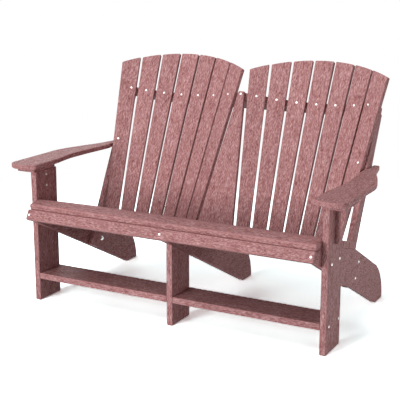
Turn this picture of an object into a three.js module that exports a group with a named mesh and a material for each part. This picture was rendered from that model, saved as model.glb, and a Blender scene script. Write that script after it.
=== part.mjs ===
// Adirondack loveseat: two fan backs of slats over one shared seat, on a frame of sloped
// side boards, three front legs and a pair of front shelves.
//
// Units are millimetres. +Z is up, the seat faces -Y, and +X is on the right of somebody
// who stands in front of it. The origin is on the floor, under the middle of the seat.
//
// While the boards are laid out, Y = 0 is the front face of the legs; the group of boards is
// moved back at the end, so that the origin falls in the middle of the depth. The boards of
// the back are laid out upright in a group of their own, which is then leaned back as one.
import * as THREE from 'three';

const RAD = Math.PI / 180;

// Board stock
const BOARD_T = 25.4;            // thickness of the frame and seat boards
const BOARD_W = 139.7;           // width of the widest boards
const THIN_T = 19.05;            // thickness of the back slats, arms and arm plates
const STRIP_W = 63.5;            // width of the narrow boards
const EASE = 2.6;                // radius of the eased edges
const GAP = 0.3;                 // clearance between boards that touch
const ROUND_STEPS = 2;           // facets across an eased edge
const CURVE_STEPS = 12;          // facets along each curve of an outline

// Front legs
const LEG_OUT = 643.5;           // half the width over the outer legs
const LEG_IN = LEG_OUT - BOARD_T;
const STRINGER_IN = LEG_IN - BOARD_T;
const UPRIGHT_IN = STRINGER_IN - BOARD_T;

// Recline: the stringers slope down to the back, the back stands square to them
const LEAN = 27.5 * RAD;
const STRINGER_LOW = 292.0;      // lower edge, measured square to the slope
const STRINGER_HIGH = 435.6;     // upper edge behind the seat
const APRON_FRONT = -240.1;      // front face, measured along the slope
const APRON_LOW = 289.0;         // lower edge, measured square to the slope
const APRON_TALL = 42.0;
const FOOT_BACK = 712.0;         // rear end of the foot on the floor
const HEEL_Y = 705.0;            // rear edge at the top of the steep part of the heel
const HEEL_UP = 66.0;            // height of that part
const HEEL_BOW = 5.0;            // how far the steep part bows back
const HEEL_SWELL = 0.3;          // share of its height at which the bow is drawn
const TAIL_Y = 630.0;            // where the upper edge starts to round down
const BEND_LOW_IN = 0.16;        // lower handle of the rounding, as shares of its depth and height
const BEND_LOW_UP = 0.38;
const BEND_HIGH_IN = 0.5;        // upper handle, likewise
const BEND_HIGH_UP = 0.72;

// Seat
const SEAT_SLOPE = 16.3 * RAD;
const SEAT_Z = 435.1;            // height of the slat tops, carried forward to Y = 0
const SEAT_FIRST = 23.2;         // front top edge of the first slat behind the nose
const SEAT_GAP = 6.35;
const SEAT_COUNT = 4;
const NOSE_TILT = 7.0 * RAD;
const NOSE_Y = -47.5;            // lower front edge of the nose slat
const NOSE_Z = 399.0;
const SEAT_CREST = 9.1;          // where the two slopes of the stringer top meet
const REAR_SIDE = 371.0;         // rear edge of the contoured slat at its ends
const REAR_CROWN = 421.0;        // the same edge at the middle of each seat
const REAR_SHOULDER = 24.0;      // straight part of that edge, from the arc to the upright

// Shelves between the legs
const SHELF_LOW = 93.75;

// Fan backs
const FAN_X = 318.0;             // middle of each fan
const FAN_SLATS = 7;
const FAN_STEP = 7.446 * RAD;    // angle from slat to slat on the curve
const FAN_TURN = 0.85;           // how far each slat turns with its angle
const FAN_R = 660.0;             // radius of the slat fronts at the upper rail
const FAN_DEPTH = 222.9;         // middle slat front, measured along the slope
const FAN_H = 1017.2;            // height of the upper rail, measured along the recline
const FAN_SPREAD = 0.00038747;   // how fast the fan widens with height
const FAN_RAKE = -0.0318;        // lean of the middle slat against the uprights
const FAN_GAP = 9.525;           // space between the slats
const FAN_CROWN = 1207.4;        // top of the middle slat
const FAN_TOP_R = 606.0;         // radius of the top outline
const FAN_LOW = 421.0;           // lower end of the slats
const TOP_STEPS = 8;             // facets along the top of a slat
const TOP_PASSES = 6;            // rounds in which a slat's top finds the arc

// Rails behind the slats, and the uprights that carry them
const UPRIGHT_S = 199.7;         // front edge of the uprights, measured along the slope
const UPRIGHT_W = 57.15;         // their width, along the slope
const UPPER_END = 590.0;         // half length of the upper rail
const UPPER_BACK = 311.3;        // its rear edge
const UPPER_FLAT = 360.0;        // half length of the straight part of that edge
const UPPER_END_BACK = 252.0;    // the rear edge at the ends of the rail
const UPPER_ROUND = 75.0;        // length of the handles of its end curves
const UPPER_DROP = 24.0;         // how far the outer handle is drawn forward
const LOWER_BACK = 342.3;        // rear edge of the lower rail

// Centre panel between the fans
const WEDGE_S = 159.0;           // front face at the upper rail
const WEDGE_RAKE = -0.0502;      // lean of the panel against the uprights
const WEDGE_HALF = 14.75;        // half width at the upper rail
const WEDGE_FLARE = -0.1156;     // change of the half width with height
const WEDGE_LOW = STRINGER_HIGH + GAP;

// Arms, with the plate and the bracket under each
const ARM_LOW = 563.3;           // underside of the arms
const ARM_OUT = 716.0;           // outer side
const ARM_IN = 590.5;            // inner side at the front
const ARM_FRONT = -34.0;         // front corners
const ARM_BOW = 28.0;            // pull of the handles that bow the front edge
const ARM_HANDLE = 40.0;         // distance of those handles from the sides
const ARM_CORNER = 18.0;         // rounding of the outer front corner
const ARM_TIP = 12.0;            // how far forward of the corner it starts
const ARM_SIDE_Y = 250.0;        // where the outer side starts to curve in
const LOBE_X = 680.0;            // middle of the outer curve
const LOBE_Y = 396.0;
const LOBE_DRIFT = -0.35;        // change of X with Y there
const NECK_X = 637.0;            // where the outer curve meets the tail
const NECK_Y = 515.0;
const TAIL_DRIFT = -0.208;       // taper of the tail
const TAIL_END = 610.0;          // rear end of the arms
const TAIL_CORNER = 6.0;         // rounding of the tail's outer corner
const TAIL_TURN = 518.5;         // where the inner side leaves the straight tail
const ELBOW_X = 588.0;           // innermost place in front of the upright
const ELBOW_Y = 500.0;
const HIP_X = 599.5;             // behind the hollow of the inner side
const HIP_Y = 360.0;
const HIP_DRIFT = -0.075;
const WAIST_X = 605.5;           // deepest part of the hollow
const WAIST_Y = 235.0;
const WRIST_Y = 85.0;            // front end of the hollow
const LEG_TOP = ARM_LOW - GAP - THIN_T;
const PLATE_OUT = 702.0;         // outer end of the plate on the leg
const PLATE_FRONT = -10.0;
const BRACKET_Y = 56.0;          // front face of the bracket
const BRACKET_OUT = 685.0;       // outer corner under the plate
const BRACKET_DRIFT = 0.12;      // change of X with Z there
const BRACKET_LOW = 405.0;       // lower end
const TOE_X = 665.0;             // outer end of the rounded toe
const TOE_UP = 20.0;
const TOE_DRIFT = 0.25;
const TOE_IN = 7.0;              // flat left at the toe, against the leg

// Heathered red-brown plastic lumber
function lumber() {
  return new THREE.MeshStandardMaterial({
    name: 'poly_lumber',
    color: new THREE.Color().setRGB(0.62, 0.39, 0.38, THREE.SRGBColorSpace),
    roughness: 0.62,
    metalness: 0.0,
  });
}

// Directions of the planes in which the boards are drawn
const AXIS_X = new THREE.Vector3(1, 0, 0);
const AXIS_Y = new THREE.Vector3(0, 1, 0);
const AXIS_Z = new THREE.Vector3(0, 0, 1);

function frame(first, second, origin = new THREE.Vector3()) {
  const third = new THREE.Vector3().crossVectors(first, second);
  const matrix = new THREE.Matrix4().makeBasis(first, second, third);
  matrix.setPosition(origin);
  return matrix;
}

function slopeAxis(angle) {
  return new THREE.Vector3(0, Math.cos(angle), -Math.sin(angle));
}

const ON_FLOOR = frame(AXIS_X, AXIS_Y);
const FACING_SIDE = frame(AXIS_Y, AXIS_Z);
const FACING_BACK = frame(AXIS_X, AXIS_Z);

// The same place in plain coordinates, from its distance along the slope and square to it
function reclinedToYZ(s, h) {
  return new THREE.Vector2(
    s * Math.cos(LEAN) + h * Math.sin(LEAN),
    h * Math.cos(LEAN) - s * Math.sin(LEAN),
  );
}

// One board: an outline with every edge eased, as thick as asked, from its plane upwards
function boardGeometry(shape, thickness) {
  const geometry = new THREE.ExtrudeGeometry(shape, {
    depth: thickness - 2 * EASE,
    bevelEnabled: true,
    bevelThickness: EASE,
    bevelSize: EASE,
    bevelOffset: -EASE,
    bevelSegments: ROUND_STEPS,
    curveSegments: CURVE_STEPS,
  });
  geometry.translate(0, 0, EASE);
  return geometry;
}

// The board as a named mesh: placed by its plane, and lifted off that plane
function board(name, shape, thickness, plane, lift = 0) {
  const mesh = new THREE.Mesh(boardGeometry(shape, thickness), lumber());
  mesh.name = name;
  mesh.applyMatrix4(plane);
  mesh.translateZ(lift);
  return mesh;
}

function rectangle(x0, y0, x1, y1) {
  return polygon([[x0, y0], [x1, y0], [x1, y1], [x0, y1]]);
}

function polygon(corners) {
  return new THREE.Shape(corners.map(([x, y]) => new THREE.Vector2(x, y)));
}

// A place on a curved outline: across, along, and how it drifts across as it runs along
function station(across, along, drift = 0) {
  return { across, along, drift };
}

// One curve of an outline, from station to station
function sweep(shape, side, from, to) {
  const third = (to.along - from.along) / 3;
  shape.bezierCurveTo(
    side * (from.across + from.drift * third),
    from.along + third,
    side * (to.across - to.drift * third),
    to.along - third,
    side * to.across,
    to.along,
  );
}

function sideName(side) {
  return side < 0 ? 'left' : 'right';
}

// Height of the seat slats' top face, and of the frame under them
function seatTop(y) {
  return SEAT_Z - y * Math.tan(SEAT_SLOPE);
}

function seatUnderside(y) {
  return seatTop(y) - BOARD_T / Math.cos(SEAT_SLOPE);
}

function noseUnderside(y) {
  return NOSE_Z + (y - NOSE_Y) * Math.tan(NOSE_TILT);
}

// Front legs: three upright boards, the middle one cut off along the stringer above it
function buildLegs() {
  const outerLeg = rectangle(0, 0, BOARD_W, LEG_TOP - GAP);
  const topAt = (y) => (STRINGER_LOW - y * Math.sin(LEAN)) / Math.cos(LEAN) - GAP;
  const middleLeg = polygon([[0, 0], [BOARD_W, 0], [BOARD_W, topAt(BOARD_W)], [0, topAt(0)]]);
  return [
    board('leg_front_left', outerLeg, BOARD_T, FACING_SIDE, -LEG_OUT),
    board('leg_front_right', outerLeg, BOARD_T, FACING_SIDE, LEG_IN),
    board('leg_front_center', middleLeg, BOARD_T, FACING_SIDE, -BOARD_T / 2),
  ];
}

// Stringer outline: front end, sloped lower edge, foot, rounded heel, upper edge, seat bed
function stringerShape() {
  const front = APRON_FRONT + BOARD_T + GAP;
  const lowFront = reclinedToYZ(front, STRINGER_LOW);
  const toe = STRINGER_LOW / Math.sin(LEAN);
  const highAt = (y) => (STRINGER_HIGH - y * Math.sin(LEAN)) / Math.cos(LEAN);
  const bedEnd = (STRINGER_HIGH / Math.cos(LEAN) - seatUnderside(0) + GAP)
    / (Math.tan(LEAN) - Math.tan(SEAT_SLOPE));
  const noseRise = Math.tan(NOSE_TILT);
  const endHigh = (noseUnderside(front * Math.cos(LEAN)) - GAP + front * Math.sin(LEAN))
    / (Math.cos(LEAN) - Math.sin(LEAN) * noseRise);
  const frontTop = reclinedToYZ(front, endHigh);
  const shape = new THREE.Shape();
  shape.moveTo(lowFront.x, lowFront.y);
  shape.lineTo(toe, 0);
  shape.lineTo(FOOT_BACK, 0);
  shape.quadraticCurveTo(FOOT_BACK + HEEL_BOW, HEEL_UP * HEEL_SWELL, HEEL_Y, HEEL_UP);
  const tailHigh = highAt(TAIL_Y);
  const rise = tailHigh - HEEL_UP;
  const set = HEEL_Y - TAIL_Y;
  shape.bezierCurveTo(
    HEEL_Y - set * BEND_LOW_IN,
    HEEL_UP + rise * BEND_LOW_UP,
    HEEL_Y - set * BEND_HIGH_IN,
    HEEL_UP + rise * BEND_HIGH_UP,
    TAIL_Y,
    tailHigh,
  );
  shape.lineTo(bedEnd, highAt(bedEnd));
  shape.lineTo(SEAT_CREST, seatUnderside(SEAT_CREST) - GAP);
  shape.lineTo(frontTop.x, frontTop.y);
  shape.closePath();
  return shape;
}

function buildStringers() {
  const shape = stringerShape();
  return [
    board('stringer_left', shape, BOARD_T - GAP, FACING_SIDE, -LEG_IN + GAP),
    board('stringer_center', shape, BOARD_T, FACING_SIDE, -BOARD_T / 2),
    board('stringer_right', shape, BOARD_T - GAP, FACING_SIDE, STRINGER_IN),
  ];
}

// Apron: a narrow board square to the stringers, across their front ends
function buildApron() {
  const length = 2 * (LEG_IN - GAP);
  const section = rectangle(APRON_FRONT, APRON_LOW, APRON_FRONT + BOARD_T, APRON_LOW + APRON_TALL);
  const alongX = frame(slopeAxis(LEAN), slopeAxis(LEAN - Math.PI / 2));
  return board('apron_front', section, length, alongX, -length / 2);
}

// Seat: a nose slat that tips forward, straight slats, and a slat contoured to the backs
function buildSeat() {
  const half = LEG_IN - GAP;
  const nose = frame(AXIS_X, slopeAxis(-NOSE_TILT), new THREE.Vector3(0, NOSE_Y, NOSE_Z));
  const boards = [board('seat_slat_nose', rectangle(-half, 0, half, STRIP_W), BOARD_T, nose)];
  const bed = (y) => frame(AXIS_X, slopeAxis(SEAT_SLOPE), new THREE.Vector3(0, y, seatTop(y)));
  const pitch = (STRIP_W + SEAT_GAP) * Math.cos(SEAT_SLOPE);
  for (let i = 0; i < SEAT_COUNT; i += 1) {
    const place = bed(SEAT_FIRST + i * pitch);
    boards.push(board(`seat_slat_${i + 1}`, rectangle(-half, 0, half, STRIP_W), BOARD_T, place, -BOARD_T));
  }
  const start = SEAT_FIRST + SEAT_COUNT * pitch;
  boards.push(board('seat_slat_rear', rearSlatShape(start, half), BOARD_T, bed(start), -BOARD_T));
  return boards;
}

// Rear slat outline: straight in front, one outward arc behind each seat
function rearSlatShape(start, half) {
  const along = (y) => (y - start) / Math.cos(SEAT_SLOPE);
  const sideDepth = along(REAR_SIDE);
  const crownDepth = along(REAR_CROWN);
  const halfChord = UPRIGHT_IN - FAN_X - REAR_SHOULDER;
  const rise = crownDepth - sideDepth;
  const radius = (halfChord * halfChord + rise * rise) / (2 * rise);
  const sweep = Math.asin(halfChord / radius);
  const shape = new THREE.Shape();
  shape.moveTo(-half, 0);
  shape.lineTo(half, 0);
  shape.lineTo(half, sideDepth);
  for (const side of [1, -1]) {
    const centre = side * FAN_X;
    shape.lineTo(centre + halfChord, sideDepth);
    shape.absarc(centre, crownDepth - radius, radius, Math.PI / 2 - sweep, Math.PI / 2 + sweep, false);
  }
  shape.lineTo(-half, sideDepth);
  shape.closePath();
  return shape;
}

function buildShelves() {
  return [-1, 1].map((side) => {
    const near = side * (BOARD_T / 2 + GAP);
    const far = side * (LEG_IN - GAP);
    const shape = rectangle(Math.min(near, far), 0, Math.max(near, far), BOARD_W);
    return board(`shelf_${sideName(side)}`, shape, BOARD_T, ON_FLOOR, SHELF_LOW);
  });
}

// Fan back: where a slat's front face is, at a height along the recline
function fanScale(h) {
  return 1 + FAN_SPREAD * (h - FAN_H);
}

function fanAxis(h) {
  return FAN_DEPTH + FAN_RAKE * (h - FAN_H) - FAN_R * fanScale(h);
}

function slatCentre(centreX, angle, h) {
  const radius = FAN_R * fanScale(h);
  return new THREE.Vector3(centreX + radius * Math.sin(angle), fanAxis(h) + radius * Math.cos(angle), h);
}

function slatHalfWidth(h) {
  const chord = 2 * FAN_R * Math.sin(FAN_STEP / 2);
  return (chord * fanScale(h) - FAN_GAP) / 2;
}

// Height of the top outline above a place across the fan
function crownAt(offset) {
  return FAN_CROWN - FAN_TOP_R + Math.sqrt(FAN_TOP_R * FAN_TOP_R - offset * offset);
}

// One slat: flat, wider upwards, turned to face the middle of its fan, top on the arc
function buildSlat(name, centreX, angle) {
  const turn = angle * FAN_TURN;
  const across = new THREE.Vector3(Math.cos(turn), -Math.sin(turn), 0);
  const origin = slatCentre(centreX, angle, FAN_H);
  const run = slatCentre(centreX, angle, FAN_H + 1).sub(origin);
  const up = run.clone().addScaledVector(across, -run.dot(across)).normalize();
  const perHeight = new THREE.Vector2(run.dot(across), run.dot(up));
  const at = (h, t) => new THREE.Vector2(
    perHeight.x * (h - FAN_H) + t * slatHalfWidth(h),
    perHeight.y * (h - FAN_H),
  );
  const outline = [at(FAN_LOW, -1), at(FAN_LOW, 1)];
  for (let i = 0; i <= TOP_STEPS; i += 1) {
    const t = 1 - (2 * i) / TOP_STEPS;
    let h = FAN_CROWN;
    for (let pass = 0; pass < TOP_PASSES; pass += 1) {
      const x = slatCentre(centreX, angle, h).x - centreX + t * slatHalfWidth(h) * Math.cos(turn);
      h = crownAt(x);
    }
    outline.push(at(h, t));
  }
  return board(name, new THREE.Shape(outline), THIN_T, frame(across, up, origin), -THIN_T);
}

function buildFans() {
  const boards = [];
  for (const side of [-1, 1]) {
    for (let i = 0; i < FAN_SLATS; i += 1) {
      const angle = (i - (FAN_SLATS - 1) / 2) * FAN_STEP;
      boards.push(buildSlat(`back_slat_${sideName(side)}_${i + 1}`, side * FAN_X, angle));
    }
  }
  return boards;
}

// Rear face of a slat where a level cuts it: its depth at a distance from the fan's middle
function slatBackAt(angle, h, x) {
  const turn = angle * FAN_TURN;
  const centre = slatCentre(0, angle, h);
  const backX = centre.x + THIN_T * Math.sin(turn);
  const backS = centre.y + THIN_T * Math.cos(turn);
  return backS - (x - backX) * Math.tan(turn);
}

// Front edge shared by both rails: a flat for every slat, and a flat tongue in the middle
function hollowEdge(low, high, end, tongue) {
  const level = (low + high) / 2;
  const clear = (angle, x) => Math.max(slatBackAt(angle, low, x), slatBackAt(angle, high, x)) + GAP;
  const points = [];
  for (let i = 0; i < FAN_SLATS; i += 1) {
    const angle = (i - (FAN_SLATS - 1) / 2) * FAN_STEP;
    const turn = angle * FAN_TURN;
    const middle = slatCentre(0, angle, level).x + THIN_T * Math.sin(turn);
    const half = slatHalfWidth(level) * Math.cos(turn);
    const left = i === 0 ? tongueReach(angle, clear, tongue) : middle - half;
    const right = i === FAN_SLATS - 1 ? end - FAN_X : middle + half;
    points.push(new THREE.Vector2(FAN_X + left, clear(angle, left)));
    points.push(new THREE.Vector2(FAN_X + right, clear(angle, right)));
  }
  const mirrored = points.map((point) => new THREE.Vector2(-point.x, point.y)).reverse();
  return mirrored.concat(points);
}

// Where the flat of the innermost slat reaches the depth of the tongue
function tongueReach(angle, clear, tongue) {
  return (tongue - clear(angle, 0)) / -Math.tan(angle * FAN_TURN);
}

function wedgeFront(h) {
  return WEDGE_S + WEDGE_RAKE * (h - FAN_H);
}

function buildRails() {
  const upperLow = FAN_H - BOARD_T / 2;
  const upperTongue = wedgeFront(upperLow) + THIN_T + GAP;
  const upper = new THREE.Shape(hollowEdge(upperLow, upperLow + BOARD_T, UPPER_END, upperTongue));
  const outerHandle = UPPER_END - UPPER_ROUND;
  const innerHandle = UPPER_FLAT + UPPER_ROUND;
  const drawn = UPPER_BACK - UPPER_DROP;
  upper.lineTo(UPPER_END, UPPER_END_BACK);
  upper.bezierCurveTo(outerHandle, drawn, innerHandle, UPPER_BACK, UPPER_FLAT, UPPER_BACK);
  upper.lineTo(-UPPER_FLAT, UPPER_BACK);
  upper.bezierCurveTo(-innerHandle, UPPER_BACK, -outerHandle, drawn, -UPPER_END, UPPER_END_BACK);
  upper.closePath();

  const lowerLow = STRINGER_HIGH + GAP;
  const lowerEnd = UPRIGHT_IN - GAP;
  const lowerTongue = wedgeFront(lowerLow) + THIN_T + GAP;
  const lower = new THREE.Shape(hollowEdge(lowerLow, lowerLow + BOARD_T, lowerEnd, lowerTongue));
  lower.lineTo(lowerEnd, LOWER_BACK);
  lower.lineTo(-lowerEnd, LOWER_BACK);
  lower.closePath();
  return [
    board('back_rail_upper', upper, BOARD_T, ON_FLOOR, upperLow),
    board('back_rail_lower', lower, BOARD_T, ON_FLOOR, lowerLow),
  ];
}

// Uprights: narrow boards on edge, on the inner faces of the outer stringers
function buildUprights() {
  const top = FAN_H - BOARD_T / 2 - GAP;
  const section = rectangle(UPRIGHT_S, STRINGER_LOW, UPRIGHT_S + UPRIGHT_W, top);
  return [
    board('upright_left', section, BOARD_T - GAP, FACING_SIDE, -STRINGER_IN + GAP),
    board('upright_right', section, BOARD_T - GAP, FACING_SIDE, UPRIGHT_IN),
  ];
}

// Centre panel: a tapered board from the upper rail down to the middle stringer
function buildWedge() {
  const origin = new THREE.Vector3(0, WEDGE_S, FAN_H);
  const up = new THREE.Vector3(0, WEDGE_RAKE, 1).normalize();
  const stretch = Math.hypot(1, WEDGE_RAKE);
  const halfAt = (h) => WEDGE_HALF + WEDGE_FLARE * (h - FAN_H);
  const along = (h) => (h - FAN_H) * stretch;
  const high = FAN_H + BOARD_T / 2;
  const shape = polygon([
    [-halfAt(WEDGE_LOW), along(WEDGE_LOW)],
    [halfAt(WEDGE_LOW), along(WEDGE_LOW)],
    [halfAt(high), along(high)],
    [-halfAt(high), along(high)],
  ]);
  return board('back_panel_center', shape, THIN_T, frame(AXIS_X, up, origin), -THIN_T);
}

// Arm outline: bowed front, straight outer side, rounded lobe, narrow tail, waisted inside
function armShape(side) {
  const shape = new THREE.Shape();
  const frontOut = ARM_OUT - ARM_CORNER;
  const frontBow = ARM_FRONT - ARM_BOW;
  shape.moveTo(side * ARM_IN, ARM_FRONT);
  shape.bezierCurveTo(side * (ARM_IN + ARM_HANDLE), frontBow, side * (ARM_OUT - ARM_HANDLE), frontBow,
    side * frontOut, ARM_FRONT - ARM_TIP);
  shape.quadraticCurveTo(side * ARM_OUT, ARM_FRONT, side * ARM_OUT, ARM_FRONT + ARM_CORNER);

  const hollowFront = station(ARM_OUT, ARM_SIDE_Y);
  const lobe = station(LOBE_X, LOBE_Y, LOBE_DRIFT);
  const neck = station(NECK_X, NECK_Y, TAIL_DRIFT);
  shape.lineTo(side * ARM_OUT, ARM_SIDE_Y);
  sweep(shape, side, hollowFront, lobe);
  sweep(shape, side, lobe, neck);

  const tailSide = TAIL_END - TAIL_CORNER;
  const tailX = NECK_X + (tailSide - NECK_Y) * TAIL_DRIFT;
  const tailIn = STRINGER_IN + GAP;
  shape.lineTo(side * tailX, tailSide);
  shape.quadraticCurveTo(side * tailX, TAIL_END, side * (tailX - TAIL_CORNER), TAIL_END);
  shape.lineTo(side * tailIn, TAIL_END);
  shape.lineTo(side * tailIn, TAIL_TURN);

  const elbow = station(ELBOW_X, ELBOW_Y);
  const hip = station(HIP_X, HIP_Y, HIP_DRIFT);
  const waist = station(WAIST_X, WAIST_Y);
  shape.lineTo(side * ELBOW_X, ELBOW_Y);
  sweep(shape, side, elbow, hip);
  sweep(shape, side, hip, waist);
  sweep(shape, side, waist, station(ARM_IN, WRIST_Y));
  shape.closePath();
  return shape;
}

// Bracket outline: straight against the leg, bowed outside, drawn in to a toe below
function bracketShape(side) {
  const inner = LEG_OUT + GAP;
  const top = LEG_TOP - GAP;
  const shape = new THREE.Shape();
  shape.moveTo(side * inner, BRACKET_LOW);
  shape.lineTo(side * inner, top);
  shape.lineTo(side * BRACKET_OUT, top);
  const toe = station(TOE_X, BRACKET_LOW + TOE_UP, TOE_DRIFT);
  sweep(shape, side, station(BRACKET_OUT, top, BRACKET_DRIFT), toe);
  shape.quadraticCurveTo(side * (TOE_X - TOE_IN), BRACKET_LOW, side * (inner + TOE_IN), BRACKET_LOW);
  shape.closePath();
  return shape;
}

function buildArms() {
  const boards = [];
  const platePlane = frame(AXIS_X, AXIS_Y, new THREE.Vector3(0, PLATE_FRONT, 0));
  const bracketLift = -BRACKET_Y - BOARD_T;
  for (const side of [-1, 1]) {
    const tag = sideName(side);
    const inner = side * LEG_IN;
    const outer = side * PLATE_OUT;
    const plate = rectangle(Math.min(inner, outer), 0, Math.max(inner, outer), BOARD_W);
    boards.push(board(`arm_${tag}`, armShape(side), THIN_T, ON_FLOOR, ARM_LOW));
    boards.push(board(`arm_plate_${tag}`, plate, THIN_T, platePlane, LEG_TOP));
    boards.push(board(`arm_bracket_${tag}`, bracketShape(side), BOARD_T, FACING_BACK, bracketLift));
  }
  return boards;
}

function group(name, ...members) {
  const made = new THREE.Group();
  made.name = name;
  made.add(...members);
  return made;
}

function build() {
  const base = group('base', ...buildLegs(), ...buildStringers(), buildApron(), ...buildShelves());
  const seat = group('seat', ...buildSeat());
  const arms = group('arms', ...buildArms());
  const back = group('back', ...buildFans(), buildWedge(), ...buildRails(), ...buildUprights());
  back.rotation.x = -LEAN;

  const boards = group('boards', base, seat, arms, back);
  const box = new THREE.Box3().setFromObject(boards, true);
  boards.position.set(0, -(box.min.y + box.max.y) / 2, -box.min.z);
  return group('adirondack_loveseat', boards);
}

export default build();
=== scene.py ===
"""Adirondack loveseat in heathered poly lumber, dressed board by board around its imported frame.

The outlines are drawn in millimetres, with Y = 0 at the front face of the legs, and each board
is carried to metres and to its own place when it is built.
"""

import logging
import math
import random
from dataclasses import dataclass, field
from enum import Enum
from typing import Callable, Sequence, Union

import bmesh
import bpy
from mathutils import Matrix, Vector
from mathutils.geometry import interpolate_bezier


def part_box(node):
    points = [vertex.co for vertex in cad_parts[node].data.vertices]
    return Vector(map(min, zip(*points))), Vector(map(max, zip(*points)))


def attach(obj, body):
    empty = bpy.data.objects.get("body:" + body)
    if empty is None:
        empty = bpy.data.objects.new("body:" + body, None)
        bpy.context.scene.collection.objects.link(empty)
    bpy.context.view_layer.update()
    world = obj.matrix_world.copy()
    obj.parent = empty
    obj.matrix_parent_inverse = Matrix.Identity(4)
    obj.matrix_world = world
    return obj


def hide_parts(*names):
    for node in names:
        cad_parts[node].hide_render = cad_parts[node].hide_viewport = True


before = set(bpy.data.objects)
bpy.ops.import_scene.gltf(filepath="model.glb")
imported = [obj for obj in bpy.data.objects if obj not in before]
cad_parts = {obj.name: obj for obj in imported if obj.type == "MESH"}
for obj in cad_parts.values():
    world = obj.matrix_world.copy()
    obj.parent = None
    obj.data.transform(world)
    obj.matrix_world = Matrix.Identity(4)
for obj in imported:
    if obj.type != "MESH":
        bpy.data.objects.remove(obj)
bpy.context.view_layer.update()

LOG = logging.getLogger("loveseat")
MM = 0.001
BODY = "root"

Number = Union["Signal", float]
Point = tuple[float, float]
Triple = tuple[float, float, float]
Colour = tuple[float, float, float, float]
Tint = tuple[int, int, int]
Plotter = Callable[[float, float], Vector]

WHITE: Colour = (1.0, 1.0, 1.0, 1.0)
NOISE_MIDDLE = 0.5
SHARP_ANGLE = math.radians(22)


# Sizes


@dataclass(frozen=True)
class Sizes:
    """Sizes that several sub-assemblies share, in millimetres."""

    board: float = 25.4
    wide: float = 139.7
    thin: float = 19.05
    strip: float = 63.5
    gap: float = 0.3
    leg_out: float = 643.5
    lean: float = math.radians(27.5)
    stringer_low: float = 292.0
    stringer_high: float = 435.6
    apron_front: float = -240.1
    rail_height: float = 1017.2
    upright_depth: float = 199.7
    fan_middle: float = 318.0
    arm_low: float = 563.3

    @property
    def leg_top(self) -> float:
        """Underside of the plates on the outer legs."""
        return self.arm_low - self.gap - self.thin

    @property
    def leg_in(self) -> float:
        """Inner face of an outer leg."""
        return self.leg_out - self.board

    @property
    def stringer_in(self) -> float:
        """Inner face of an outer stringer."""
        return self.leg_in - self.board

    @property
    def upright_in(self) -> float:
        """Inner face of an upright."""
        return self.stringer_in - self.board


SIZES = Sizes()


class Side(Enum):
    """The two sides, as somebody in front of the seat sees them."""

    LEFT = -1
    RIGHT = 1

    @property
    def tag(self) -> str:
        """Word used in the names of pieces."""
        return self.name.lower()


class Grain(Enum):
    """Direction in which the grain runs, as seen from the outline of a board."""

    FIRST = 0
    SECOND = 1
    THROUGH = 2


class Face(Enum):
    """The two broad faces of a board."""

    TOP = 1
    BOTTOM = -1


# Planes and outlines


AXIS_X = Vector((1.0, 0.0, 0.0))
AXIS_Y = Vector((0.0, 1.0, 0.0))
AXIS_Z = Vector((0.0, 0.0, 1.0))


def plane(first: Vector, second: Vector, origin: Vector = Vector((0.0, 0.0, 0.0))) -> Matrix:
    """Make the place of a flat outline.

    Args:
        first: Direction of the outline's first coordinate.
        second: Direction of the outline's second coordinate.
        origin: Where the outline's zero lies.

    Returns:
        Matrix from outline coordinates to the object's, in millimetres.
    """
    third = first.cross(second)
    matrix = Matrix((first, second, third)).transposed().to_4x4()
    matrix.translation = origin
    return matrix


def slope_axis(angle: float) -> Vector:
    """Direction that runs to the back and falls by an angle."""
    return Vector((0.0, math.cos(angle), -math.sin(angle)))


ON_FLOOR = plane(AXIS_X, AXIS_Y)
FACING_SIDE = plane(AXIS_Y, AXIS_Z)
FACING_BACK = plane(AXIS_X, AXIS_Z)
RECLINED = plane(AXIS_X, slope_axis(SIZES.lean))
RECLINED_UP = Vector((0.0, math.sin(SIZES.lean), math.cos(SIZES.lean)))
RECLINED_SIDE = plane(slope_axis(SIZES.lean), RECLINED_UP)


def to_side(depth: float, height: float) -> Point:
    """Turn a place along and square to the recline into plain depth and height."""
    spot = RECLINED @ Vector((0.0, depth, height))
    return spot.y, spot.z


@dataclass(frozen=True)
class Station:
    """A place on a curved outline, and how it drifts across as it runs along."""

    across: float
    along: float
    drift: float = 0.0


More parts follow.
